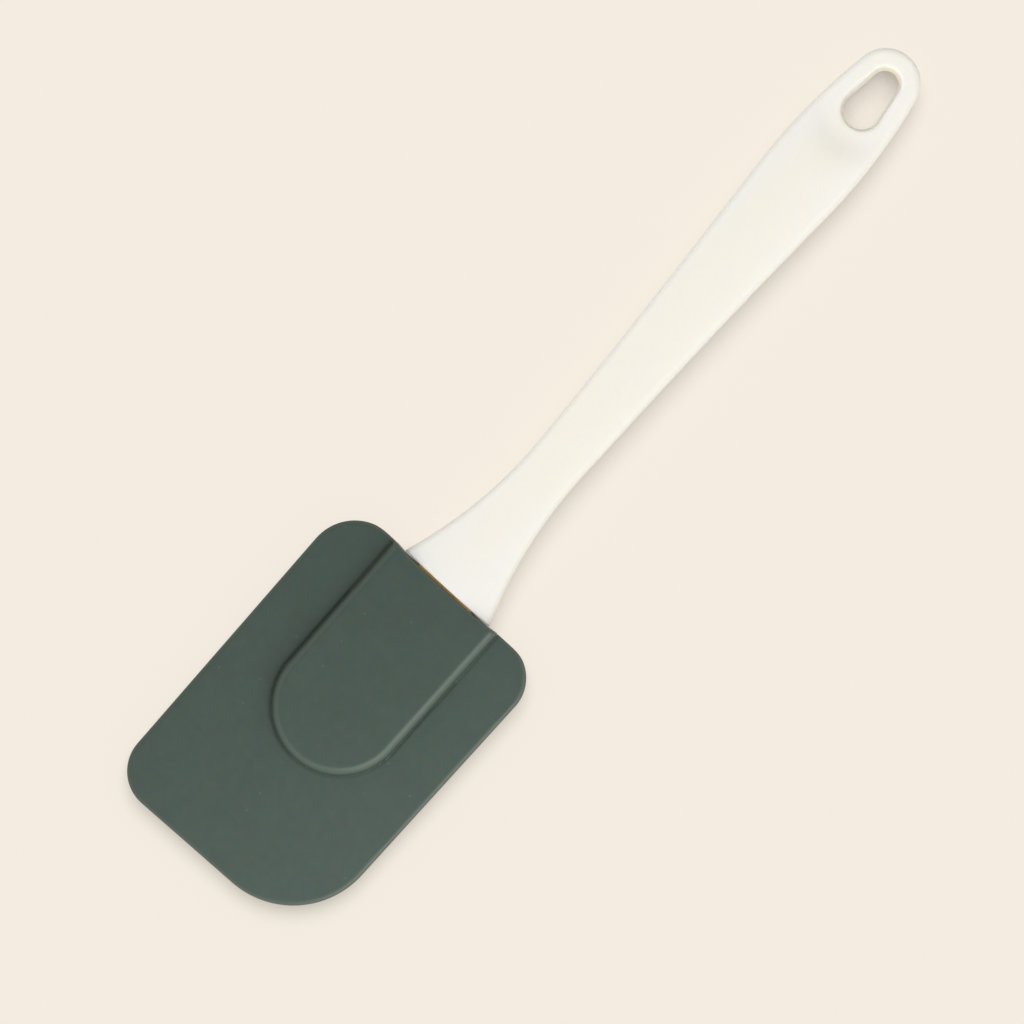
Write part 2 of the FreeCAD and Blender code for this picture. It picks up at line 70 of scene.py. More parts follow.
# %% Node helper
def add(tree, kind, inputs=(), **settings):
    node = tree.nodes.new(kind)
    for name, value in settings.items():
        setattr(node, name, value)
    for key, value in inputs.items() if isinstance(inputs, dict) else enumerate(inputs):
        if isinstance(value, bpy.types.Node):
            value = value.outputs[0]
        if isinstance(value, bpy.types.NodeSocket):
            tree.links.new(value, node.inputs[key])
        else:
            node.inputs[key].default_value = value
    return node


def linear(hex_colour):
    """An sRGB colour such as #A0B0C0 as the linear RGBA that shader sockets take."""
    channels = [int(hex_colour[i : i + 2], 16) / 255 for i in (1, 3, 5)]
    return [c / 12.92 if c <= 0.04045 else ((c + 0.055) / 1.055) ** 2.4 for c in channels] + [1.0]


def new_material(name):
    material = bpy.data.materials.new(name)
    material.use_nodes = True
    material.node_tree.nodes.clear()
    return material, material.node_tree


print(f"half-way grey #808080 is {linear('#808080')[0]:.3f} in linear light")

# %% [markdown]
# ## Silicone rubber
# The head is silicone rubber, pressed in a mould with a fine satin skin. To the eye that is a matte
# dark green-grey that clouds and mottles a little, with a soft gleam on the rounded edges. A
# painted highlight there also makes the colour paler. The crease round the pad is a dark line of
# painted shade, and a few pale specks of lint lie on the level faces, because silicone holds on to
# dust.
# A picture of rubber could be wrapped round the head. Patterns worked out in millimetres have no
# seams and stay right at any size, so they are used here.

# %% Silicone material
# a Mix node has sockets for each kind of data: these are the numbers of those for colours
SHARE, FROM, TO, MIXED = 0, 6, 7, 2
OCCLUSION_RAYS = 8
CLOUD_MM = 9.0
MOTTLE_MM, MOTTLING = 2.2, 0.012
# the mould's own grain is too fine to show, so it is drawn as coarse as it needs to be
GRAIN_MM = 0.7
LINT_SPACING_MM, LINT_SIZE_MM = 9.0, 0.24
LINT_RARITY = 0.84
# how far a face is turned up or down: 1 is level and 0 is upright
LEVEL, ROUNDED = 0.995, 0.92
UPRIGHT, STEEP = 0.2, 0.6
# how much the painted highlight on rounded edges pales their colour
EDGE_HIGHLIGHT = 0.22
# painted shade in the crease round the pad: how far it looks, and the openness at which it starts
# and is full
CREASE_MM, CREASE_OPEN, CREASE_CLOSED = 1.1, 0.96, 0.74
CREASE_DULLNESS = 0.5


def moulded_silicone():
    material, tree = new_material("satin_moulded_silicone")
    coords = add(tree, "ShaderNodeTexCoord")
    place = coords.outputs["Object"]
    cloudy = {"Vector": place, "Scale": 1 / (CLOUD_MM * MM), "Detail": 4.0}
    clouds = add(tree, "ShaderNodeTexNoise", cloudy)
    share = add(tree, "ShaderNodeMapRange", {"Value": clouds, "From Min": 0.32, "From Max": 0.68})
    shades = {SHARE: share, FROM: linear("#3F5049"), TO: linear("#41534C")}
    tint = add(tree, "ShaderNodeMix", shades, data_type="RGBA").outputs[MIXED]
    # mottling: red, green and blue each drift a little by themselves
    drifting = {"Vector": place, "Scale": 1 / (MOTTLE_MM * MM), "Detail": 3.0}
    drift = add(tree, "ShaderNodeTexNoise", drifting).outputs["Color"]
    uneven = {SHARE: MOTTLING, FROM: tint, TO: drift}
    mottling = add(tree, "ShaderNodeMix", uneven, data_type="RGBA", blend_type="LINEAR_LIGHT")
    # lint: one dot in a cell, and only the cells whose random number is high have one
    spread = {"Vector": place, "Scale": 1 / (LINT_SPACING_MM * MM)}
    cells = add(tree, "ShaderNodeTexVoronoi", spread, voronoi_dimensions="2D").outputs
    size = LINT_SIZE_MM / LINT_SPACING_MM
    dot = add(tree, "ShaderNodeMath", [cells["Distance"], size], operation="LESS_THAN")
    chance = add(tree, "ShaderNodeSeparateColor", [cells["Color"]]).outputs["Red"]
    rare = add(tree, "ShaderNodeMath", [chance, LINT_RARITY], operation="GREATER_THAN")
    facing = add(tree, "ShaderNodeSeparateXYZ", [coords.outputs["Normal"]]).outputs["Z"]
    tilt = add(tree, "ShaderNodeMath", [facing], operation="ABSOLUTE")
    level = add(tree, "ShaderNodeMath", [tilt, LEVEL], operation="GREATER_THAN")
    fallen = add(tree, "ShaderNodeMath", [dot, rare], operation="MULTIPLY")
    lint = add(tree, "ShaderNodeMath", [fallen, level], operation="MULTIPLY")
    dust = {SHARE: lint, FROM: mottling.outputs[MIXED], TO: linear("#526059")}
    dusty = add(tree, "ShaderNodeMix", dust, data_type="RGBA").outputs[MIXED]
    # painted highlight: rounded edges, which are neither level nor upright, are made paler in
    # colour
    bending = {"Value": tilt, "From Min": LEVEL, "From Max": ROUNDED}
    leaning = add(tree, "ShaderNodeMapRange", bending)
    not_upright_range = {"Value": tilt, "From Min": UPRIGHT, "From Max": STEEP, "To Max": EDGE_HIGHLIGHT}
    not_upright = add(tree, "ShaderNodeMapRange", not_upright_range)
    edge_highlight = add(tree, "ShaderNodeMath", [leaning, not_upright], operation="MULTIPLY")
    paler = {SHARE: edge_highlight, FROM: dusty, TO: linear("#7F8B7B")}
    highlighted = add(tree, "ShaderNodeMix", paler, data_type="RGBA").outputs[MIXED]
    # painted shade: the crease round the pad is darkened in colour where it is closed in, and made
    # rougher so it has no gleam
    reach = {"Distance": CREASE_MM * MM}
    near = add(
        tree, "ShaderNodeAmbientOcclusion", reach, samples=OCCLUSION_RAYS, only_local=True
    ).outputs["AO"]
    closing = {"Value": near, "From Min": CREASE_OPEN, "From Max": CREASE_CLOSED}
    crease = add(tree, "ShaderNodeMapRange", closing)
    crease_shading = {SHARE: crease, FROM: highlighted, TO: linear("#2A3731")}
    colour = add(tree, "ShaderNodeMix", crease_shading, data_type="RGBA").outputs[MIXED]
    grained = {"Vector": place, "Scale": 1 / (GRAIN_MM * MM), "Detail": 2.0}
    grain = add(tree, "ShaderNodeTexNoise", grained)
    satin = add(tree, "ShaderNodeMapRange", {"Value": grain, "To Min": 0.34, "To Max": 0.44})
    dulled = [crease, CREASE_DULLNESS, satin]
    rough = add(tree, "ShaderNodeMath", dulled, operation="MULTIPLY_ADD")
    skin = add(tree, "ShaderNodeBump", {"Height": grain, "Strength": 0.25, "Distance": 0.02 * MM})
    look = {"Base Color": colour, "IOR": 1.43, "Roughness": rough, "Normal": skin}
    shader = add(tree, "ShaderNodeBsdfPrincipled", look)
    add(tree, "ShaderNodeOutputMaterial", [shader])
    return material


silicone = moulded_silicone()
print("made", silicone.name)

# %% [markdown]
# ## Polypropylene
# The handle is injection-moulded polypropylene, warm white and slightly see-through at thin edges.
# It has a satin surface from the mould, so it shows no sharp reflection, only a soft brightening
# towards the light. The colour is a little warmer along the middle of the grip, and where walls
# close in, as in the hole, painted light makes it yellower still, for light caught between them.
# Plain white paint could stand in for it, but only a material that light sinks into, with a
# subsurface, has such soft edges.

# %% Polypropylene material
FLOW_MM, FLOW_SHARE = 26.0, 0.3
# the mould's own grain is too fine to show, so it is drawn as coarse as it needs to be
SATIN_MM = 0.5
GRIP_MIDDLE_MM, GRIP_REACH_MM = 40.0, (10.5, 100.0)
# painted light between walls: how far it looks, and the openness at which the yellowing starts and
# is full
CAUGHT_MM, WALLS_APART, WALLS_CLOSE = 6.0, 0.95, 0.6


def moulded_polypropylene():
    material, tree = new_material("satin_moulded_polypropylene")
    place = add(tree, "ShaderNodeTexCoord").outputs["Object"]
    flowing = {"Vector": place, "Scale": 1 / (FLOW_MM * MM), "Detail": 3.0}
    flow = add(tree, "ShaderNodeTexNoise", flowing)
    # 0 in the middle of the grip, where the colour is a little warmer, and 1 at the hang end and
    # the rim
    shares = (1 / (GRIP_REACH_MM[0] * MM), 1 / (GRIP_REACH_MM[1] * MM), 0.0)
    back = (0.0, -GRIP_MIDDLE_MM / GRIP_REACH_MM[1], 0.0)
    from_grip_middle = add(tree, "ShaderNodeMapping", {"Vector": place, "Location": back, "Scale": shares})
    away = add(tree, "ShaderNodeVectorMath", [from_grip_middle], operation="LENGTH").outputs["Value"]
    uneven = add(tree, "ShaderNodeMath", [flow, FLOW_SHARE, away], operation="MULTIPLY_ADD")
    share = add(tree, "ShaderNodeMapRange", {"Value": uneven, "From Min": 0.64, "From Max": 1.0})
    shades = {SHARE: share, FROM: linear("#F3EFE4"), TO: linear("#F2F0E9")}
    tint = add(tree, "ShaderNodeMix", shades, data_type="RGBA").outputs[MIXED]
    # painted light: where walls close in, the colour is made yellower, for light caught between
    # them that has passed through the plastic
    reach = {"Distance": CAUGHT_MM * MM}
    open_air = add(
        tree, "ShaderNodeAmbientOcclusion", reach, samples=OCCLUSION_RAYS, only_local=True
    ).outputs["AO"]
    closing = {"Value": open_air, "From Min": WALLS_APART, "From Max": WALLS_CLOSE}
    caught = add(tree, "ShaderNodeMapRange", closing)
    yellower = {SHARE: caught, FROM: tint, TO: linear("#F6EABE")}
    warmed = add(tree, "ShaderNodeMix", yellower, data_type="RGBA").outputs[MIXED]
    grained = {"Vector": place, "Scale": 1 / (SATIN_MM * MM), "Detail": 2.0}
    satin = add(tree, "ShaderNodeTexNoise", grained)
    rough = add(tree, "ShaderNodeMapRange", {"Value": satin, "To Min": 0.36, "To Max": 0.46})
    skin = add(tree, "ShaderNodeBump", {"Height": satin, "Strength": 0.15, "Distance": 0.015 * MM})
    look = {"Base Color": warmed, "IOR": 1.49, "Roughness": rough, "Normal": skin}
    sinking = {"Weight": 0.5, "Radius": (1.0, 0.85, 0.5), "Scale": 2.5 * MM}
    look.update({f"Subsurface {name}": value for name, value in sinking.items()})
    shader = add(tree, "ShaderNodeBsdfPrincipled", look)
    add(tree, "ShaderNodeOutputMaterial", [shader])
    return material


polypropylene = moulded_polypropylene()
print("made", polypropylene.name)

# %% [markdown]
# ## Glass-filled nylon
# The core is nylon with short glass fibres, left in its natural honey colour. The fibres lie along
# the flow of the melt, so the surface has fine streaks along its length and a dull gleam.
# The streaks could be painted on a picture. A noise that is stretched along the core gives them on
# every face, with nothing to unwrap. The core's mesh is the measured one, so it only needs this
# material.

# %% Nylon material
# the streaks of real fibres are too fine to show, so they are drawn as coarse as they need to be
STREAK_MM = 1.1
STREAK_STRETCH = 9.0


def glass_filled_nylon():
    material, tree = new_material("glass_filled_nylon")
    place = add(tree, "ShaderNodeTexCoord").outputs["Object"]
    stretch = (1.0, 1 / STREAK_STRETCH, 1.0)
    along = add(tree, "ShaderNodeMapping", {"Vector": place, "Scale": stretch})
    streaky = {"Vector": along, "Scale": 1 / (STREAK_MM * MM), "Detail": 4.0}
    streaks = add(tree, "ShaderNodeTexNoise", streaky)
    share = add(tree, "ShaderNodeMapRange", {"Value": streaks, "From Min": 0.25, "From Max": 0.75})
    shades = {SHARE: share, FROM: linear("#A6761A"), TO: linear("#CC982E")}
    tint = add(tree, "ShaderNodeMix", shades, data_type="RGBA").outputs[MIXED]
    rough = add(tree, "ShaderNodeMapRange", {"Value": streaks, "To Min": 0.36, "To Max": 0.52})
    skin = add(tree, "ShaderNodeBump", {"Height": streaks, "Strength": 0.3, "Distance": 0.03 * MM})
    look = {"Base Color": tint, "IOR": 1.53, "Roughness": rough, "Normal": skin}
    sinking = {"Weight": 0.15, "Radius": (1.0, 0.6, 0.2), "Scale": 1.5 * MM}
    look.update({f"Subsurface {name}": value for name, value in sinking.items()})
    shader = add(tree, "ShaderNodeBsdfPrincipled", look)
    add(tree, "ShaderNodeOutputMaterial", [shader])
    return material


nylon = glass_filled_nylon()
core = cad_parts["tang_core"]
for material_slot in core.material_slots:
    material_slot.material = nylon
print("made", nylon.name, "for", core.name)

# %% [markdown]
# ## Outlines
# Seen from above, every form is a closed line of straight runs and arcs. A curve object could hold
# it, but a flat face lets nodes measure how far a point is from its border and on which side it
# lies. Two faces, one for the plan and one for a second outline on it, make the object that a tree
# starts from.

# %% Arcs and flat faces
ARC_STEP, ARC_RUN, FEWEST_STEPS = math.radians(1.5), 1.0 * MM, 4
SAME_POINT = 1e-3 * MM


def arc(centre, radius, start, end):
    """Points on an arc about centre, from the angle start to the angle end, in degrees."""
    start, end = math.radians(start), math.radians(end)
    sweep = abs(end - start)
    steps = max(FEWEST_STEPS, round(sweep / ARC_STEP), round(sweep * radius / ARC_RUN))
    turns = [start + (end - start) * i / steps for i in range(steps + 1)]
    x, y = centre
    return [Vector((x + radius * math.cos(t), y + radius * math.sin(t))) for t in turns]


def flat_faces(name, *outlines):
    """An object with one flat face for each outline."""
    mesh = bpy.data.meshes.new(name)
    rings = []
    for outline in outlines:
        pairs = zip(outline, outline[1:] + outline[:1])
        rings.append([p for p, q in pairs if (p - q).length > SAME_POINT])
    starts = [sum(map(len, rings[:i])) for i in range(len(rings))]
    points = [(p.x, p.y, 0.0) for ring in rings for p in ring]
    mesh.from_pydata(points, [], [range(s, s + len(ring)) for s, ring in zip(starts, rings)])
    drawing = bpy.data.objects.new(name, mesh)
    bpy.context.scene.collection.objects.link(drawing)
    return drawing


print("a quarter circle of 10 mm:", len(arc((0.0, 0.0), 10.0 * MM, 0, 90)), "points")

# %% [markdown]
# ## First rule: the distance to an outline
# Every form here starts from how far a point is from a border, counted as negative inside. The
# rule is a node group, so that handle, blade and pad can all use it.
# Proximity to the edges gives the distance but not the side. The side could be read from the
# nearest point of the face, but thin triangles make that unsure. A ray straight down hits the face
# only where the point is inside, so that is the test.

# %% Distance to an outline
FLOAT, VECTOR, SHAPE = "NodeSocketFloat", "NodeSocketVector", "NodeSocketGeometry"
RAY_START = 100.0 * MM
DOWN = (0.0, 0.0, -1.0)


def new_tree(name, inputs, outputs):
    tree = bpy.data.node_groups.new(name, "GeometryNodeTree")
    for label, kind in inputs.items():
        tree.interface.new_socket(label, in_out="INPUT", socket_type=kind)
    for label, kind in outputs.items():
        tree.interface.new_socket(label, in_out="OUTPUT", socket_type=kind)
    return tree, add(tree, "NodeGroupInput").outputs


def outline_distance():
    inputs = {"Outline": SHAPE, "Place": VECTOR}
    tree, given = new_tree("distance to an outline", inputs, {"Distance": FLOAT})
    level = (1.0, 1.0, 0.0)
    flat = add(tree, "ShaderNodeVectorMath", [given["Place"], level], operation="MULTIPLY")
    wanted = {"Geometry": given["Outline"], "Sample Position": flat}
    border = add(tree, "GeometryNodeProximity", wanted, target_element="EDGES")
    above = add(tree, "ShaderNodeVectorMath", [flat, (0.0, 0.0, RAY_START)], operation="ADD")
    ray = {"Target Geometry": given["Outline"], "Source Position": above, "Ray Direction": DOWN}
    inside = add(tree, "GeometryNodeRaycast", ray).outputs["Is Hit"]
    # the sign is 1 outside and -1 inside
    sign = add(tree, "ShaderNodeMath", [inside, -2.0, 1.0], operation="MULTIPLY_ADD")
    away = border.outputs["Distance"]
    signed = add(tree, "ShaderNodeMath", [away, sign], operation="MULTIPLY")
    add(tree, "NodeGroupOutput", [signed])
    return tree


DISTANCE = outline_distance()
print("rule:", DISTANCE.name)

# %% [markdown]
# ## Second rule: a plate with round edges
# Handle, blade and pad are plates whose edges the mould has rounded. A Bevel modifier could round
# a mesh. Here the rounding is in the distance itself: beyond the edge and beyond the face, it is
# the distance to a point, which bends the corner into an arc of just the radius that is asked for.

# %% Rounded plate
def rounded_plate():
    sizes = {"Edge": FLOAT, "Height": FLOAT, "Half thickness": FLOAT, "Radius": FLOAT}
    tree, given = new_tree("rounded plate", sizes, {"Distance": FLOAT})
    side = add(tree, "ShaderNodeMath", [given["Edge"], given["Radius"]], operation="ADD")
    heights = [given["Height"], given["Half thickness"]]
    above = add(tree, "ShaderNodeMath", heights, operation="SUBTRACT")
    top = add(tree, "ShaderNodeMath", [above, given["Radius"]], operation="ADD")
    corner = add(tree, "ShaderNodeCombineXYZ", [side, top])
    past = add(tree, "ShaderNodeVectorMath", [corner, (0.0, 0.0, 0.0)], operation="MAXIMUM")
    outside = add(tree, "ShaderNodeVectorMath", [past], operation="LENGTH").outputs["Value"]
    nearer = add(tree, "ShaderNodeMath", [side, top], operation="MAXIMUM")
    inside = add(tree, "ShaderNodeMath", [nearer, 0.0], operation="MINIMUM")
    both = add(tree, "ShaderNodeMath", [outside, inside], operation="ADD")
    plate = add(tree, "ShaderNodeMath", [both, given["Radius"]], operation="SUBTRACT")
    add(tree, "NodeGroupOutput", [plate])
    return tree


PLATE = rounded_plate()
print("rule:", PLATE.name)

# %% [markdown]
# ## Third rule: the tongue's wedge
# The core's tongue gets narrower and thinner towards its tip, with round tip corners, so that the
# head slides on easily and then sits tight. A boolean with the core's mesh could cut the socket,
# but would copy its flute as well. The wedge as a rule can be grown by a clearance first.

# %% Tongue wedge
TONGUE_LENGTH = SHOULDER - core_low.y
TONGUE_WIDTH, TONGUE_TIP_WIDTH = 17.2 * MM, 14.6 * MM
TONGUE_THICKNESS, TONGUE_TIP_THICKNESS = 7.0 * MM, 3.6 * MM
TONGUE_CORNER = 5.5 * MM
TONGUE_EDGE = 0.6 * MM


def tongue_wedge():
    inputs = {"Place": VECTOR, "Grow": FLOAT}
    tree, given = new_tree("tongue wedge", inputs, {"Distance": FLOAT})
    x, y, z = add(tree, "ShaderNodeSeparateXYZ", [given["Place"]]).outputs
    down = add(tree, "ShaderNodeMath", [SHOULDER, y], operation="SUBTRACT")
    lean = (TONGUE_TIP_WIDTH - TONGUE_WIDTH) / 2 / TONGUE_LENGTH
    slope = (TONGUE_TIP_THICKNESS - TONGUE_THICKNESS) / 2 / TONGUE_LENGTH
    widths, thicknesses = [down, lean, TONGUE_WIDTH / 2], [down, slope, TONGUE_THICKNESS / 2]
    half_width = add(tree, "ShaderNodeMath", widths, operation="MULTIPLY_ADD")
    half_thickness = add(tree, "ShaderNodeMath", thicknesses, operation="MULTIPLY_ADD")
    across = add(tree, "ShaderNodeMath", [x], operation="ABSOLUTE")
    side = add(tree, "ShaderNodeMath", [across, half_width], operation="SUBTRACT")
    plan_sizes = [side, down, TONGUE_LENGTH, TONGUE_CORNER]
    plan = add(tree, "GeometryNodeGroup", plan_sizes, node_tree=PLATE)
    up = add(tree, "ShaderNodeMath", [z, MIDDLE], operation="SUBTRACT")
    height = add(tree, "ShaderNodeMath", [up], operation="ABSOLUTE")
    wedge_sizes = [plan, height, half_thickness, TONGUE_EDGE]
    wedge = add(tree, "GeometryNodeGroup", wedge_sizes, node_tree=PLATE)
    grown = add(tree, "ShaderNodeMath", [wedge, given["Grow"]], operation="SUBTRACT")
    add(tree, "NodeGroupOutput", [grown])
    return tree


WEDGE = tongue_wedge()
print(f"rule: {WEDGE.name}, {TONGUE_LENGTH / MM:.1f} mm long")

# %% [markdown]
# ## From a rule to a mesh
# A rule that says how deep any point lies inside a form is enough to make that form. A volume is
# filled with the depth, and its zero level is turned into a mesh. The mesh is a little off between
# the samples, so each point is then moved along its normal by what the rule still says there,
# twice. A boolean or a bevel could make the same shapes, but leaves thin triangles and kinks in
# the shading.

# %% Growing a form
VOXEL, MARGIN = 0.4 * MM, 3
CORRECTIONS = 2
FAR_OUTSIDE = -1.0


def grow(tree, distance, low, high, material):
    """End the tree with the mesh on which distance is zero, between the corners low and high."""
    depth = add(tree, "ShaderNodeMath", [distance, -1.0], operation="MULTIPLY")
    low = low - Vector((MARGIN * VOXEL,) * 3)
    high = high + Vector((MARGIN * VOXEL,) * 3)
    counts = [round(side / VOXEL) for side in high - low]
    volume = add(tree, "GeometryNodeVolumeCube", [depth, FAR_OUTSIDE, low, high, *counts])
    level = {"Volume": volume, "Threshold": 0.0}
    mesh = add(tree, "GeometryNodeVolumeToMesh", level, resolution_mode="GRID")
    normal = add(tree, "GeometryNodeInputNormal")
    for _ in range(CORRECTIONS):
        step = add(tree, "ShaderNodeVectorMath", {0: normal, "Scale": depth}, operation="SCALE")
        mesh = add(tree, "GeometryNodeSetPosition", {"Geometry": mesh, "Offset": step})
    smooth = add(tree, "GeometryNodeSetShadeSmooth", [mesh])
    single = add(tree, "GeometryNodeRealizeInstances", [smooth])
    dressed = add(tree, "GeometryNodeSetMaterial", {"Geometry": single, "Material": material})
    add(tree, "NodeGroupOutput", [dressed])


def finished(drawing, tree, sizes, name):
    """Run the tree on the drawing with the named sizes, and keep the result as a plain mesh."""
    maker = drawing.modifiers.new(name, "NODES")
    maker.node_group = tree
    for item in tree.interface.items_tree:
        if item.in_out == "INPUT" and item.name in sizes:
            maker[item.identifier] = sizes[item.name]
    bpy.context.view_layer.update()
    shaped = drawing.evaluated_get(bpy.context.evaluated_depsgraph_get())
    mesh = bpy.data.meshes.new_from_object(shaped)
    mesh.name = name
    piece = bpy.data.objects.new(name, mesh)
    bpy.context.scene.collection.objects.link(piece)
    bpy.data.objects.remove(drawing)
    triangles = sum(len(face.vertices) - 2 for face in mesh.polygons)
    spans = [[v.co[i] / MM for v in mesh.vertices] for i in range(3)]
    reach = ", ".join(f"{min(span):.2f} to {max(span):.2f}" for span in spans)
    print(f"{name}: {triangles} triangles, {reach} mm")
    return piece


print(f"samples {VOXEL / MM:.1f} mm apart, {CORRECTIONS} corrections")

# %% [markdown]
# ## The handle's side
# From above, the side of the handle is four arcs that run into each other: the flare at the
# shoulder, the long hollow of the neck, the belly of the grip and the round end. A curve could be
# drawn by eye along the photograph. Arcs with a common tangent have no bumps, and each of them
# follows from a width that can be measured.

# %% Handle side
HANDLE_LENGTH = handle_high.y - handle_low.y
SHOULDER_WIDTH = 26.6 * MM
NECK_WIDTH, NECK_DISTANCE = 13.1 * MM, 37.8 * MM
SWELL_RADIUS = 2200.0 * MM
GRIP_WIDTH, GRIP_SETBACK = 20.9 * MM, 32.7 * MM
END_RADIUS = 8.2 * MM
PAST_SHOULDER = 6.0 * MM


def bearing(centre, point):
    return math.degrees(math.atan2(point.y - centre.y, point.x - centre.x))


def handle_side():
    """The right side from below the shoulder to the tip, as four tangent arcs."""
    neck, grip = NECK_WIDTH / 2, GRIP_WIDTH / 2
    drop = SHOULDER_WIDTH / 2 - neck
    flare_radius = (drop**2 + NECK_DISTANCE**2) / (2 * drop)
    flare = Vector((neck + flare_radius, SHOULDER + NECK_DISTANCE))
    end = Vector((0.0, SHOULDER + HANDLE_LENGTH - END_RADIUS))
    widest = SHOULDER + HANDLE_LENGTH - GRIP_SETBACK
    belly_radius = (grip**2 + (end.y - widest) ** 2 - END_RADIUS**2) / (2 * (grip - END_RADIUS))
    belly = Vector((grip - belly_radius, widest))
    # the neck's arc touches flare and belly, so its centre is known by its distance from both
    to_flare, to_belly = SWELL_RADIUS - flare_radius, SWELL_RADIUS + belly_radius
    apart = belly - flare
    along = (to_flare**2 - to_belly**2 + apart.length_squared) / (2 * apart.length)
    unit = apart.normalized()
    swell = flare + unit * along + Vector((unit.y, -unit.x)) * math.sqrt(to_flare**2 - along**2)
    flare_end = bearing(flare, flare + (flare - swell))
    swell_end = bearing(belly, swell)
    belly_end = bearing(belly, end)
    below = SHOULDER - PAST_SHOULDER - flare.y
    flare_start = 180 + math.degrees(math.asin(-below / flare_radius))
    side = arc(flare, flare_radius, flare_start, flare_end % 360)
    side += arc(swell, SWELL_RADIUS, flare_end % 360, (swell_end + 180) % 360)
    side += arc(belly, belly_radius, swell_end, belly_end)
    return side + arc(end, END_RADIUS, belly_end, 90.0)


right = handle_side()
left = [Vector((-p.x, p.y)) for p in reversed(right)]
print("handle outline:", len(right) + len(left), "points")

# %% [markdown]
# ## The hang hole and the neck's bow
# The hang hole is a slot with a wide and a narrow round end, for a hook. Two circles and a hull
# round them would do. Here the straight sides are found as the common tangents, which gives clean
# points in order. The neck of the real handle bows to one side by less than half a millimetre, so
# the outline is shifted a little along a bell curve.

# %% Hang hole and drawing
HOLE_LENGTH, HOLE_END_WALL = 15.8 * MM, 5.15 * MM
HOLE_WIDE_RADIUS, HOLE_NARROW_RADIUS = 4.4 * MM, 3.25 * MM
NECK_BOW, BOW_PLACE, BOW_REACH = 0.4 * MM, 40.0 * MM, 45.0 * MM


def hole_outline():
    far = SHOULDER + HANDLE_LENGTH - HOLE_END_WALL
    low = Vector((0.0, far - HOLE_LENGTH + HOLE_WIDE_RADIUS))
    high = Vector((0.0, far - HOLE_NARROW_RADIUS))
    lean = math.degrees(math.asin((HOLE_WIDE_RADIUS - HOLE_NARROW_RADIUS) / (high.y - low.y)))
    wide = arc(low, HOLE_WIDE_RADIUS, 180 - lean, 360 + lean)
    return wide + arc(high, HOLE_NARROW_RADIUS, lean, 180 - lean)


def bowed(point):
    along = (point.y - SHOULDER - BOW_PLACE) / BOW_REACH
    return Vector((point.x + NECK_BOW * math.exp(-along * along), point.y))


hole_points = hole_outline()
handle_drawing = flat_faces("handle_drawing", [bowed(p) for p in right + left], hole_points)
print("hang hole:", len(hole_points), "points")

# %% [markdown]
# ## The handle
# In section the handle is crowned top and bottom and rounded to the sides. Its hang end is dished
# to a flat land, and the hole through it widens to both faces. Its other end is cut off flat at
# the shoulder, a little aslant, as in the photograph.
# Lofted sections could make it, but the dish and the hole would then be booleans. As a rule, each
# is one more distance, and the smooth maximum of two distances rounds the edge between them.
# The core's tail is closed in by the handle and can't be seen, so the handle is left whole there.

# %% Handle tree
JOINT_SLANT = 0.024
LAND_RADIUS = 12.5 * MM
HANDLE_SIZES = {
    "Thickest": 5.0 * MM,
    "Crown radius": 42.0 * MM,
    "Edge radius": 1.2 * MM,
    "Shoulder rounding": 0.4 * MM,
    "Land centre": SHOULDER + HANDLE_LENGTH - LAND_RADIUS,
    "Land radius": LAND_RADIUS,
    "Land level": 3.55 * MM,
    "Ramp slope": 0.22,
    "Ramp rounding": 1.4 * MM,
    "Hole rounding": 0.8 * MM,
    "Hole flare": 0.17,
}
# half thickness along the handle, from shoulder to tip, as shares of the length and the thickest
HANDLE_PROFILE = ((0.0, 0.96), (0.23, 0.88), (0.8, 0.95), (1.0, 0.79))
# a face whose index is under this is the first one, which is the plan
FIRST_FACE = 0.5


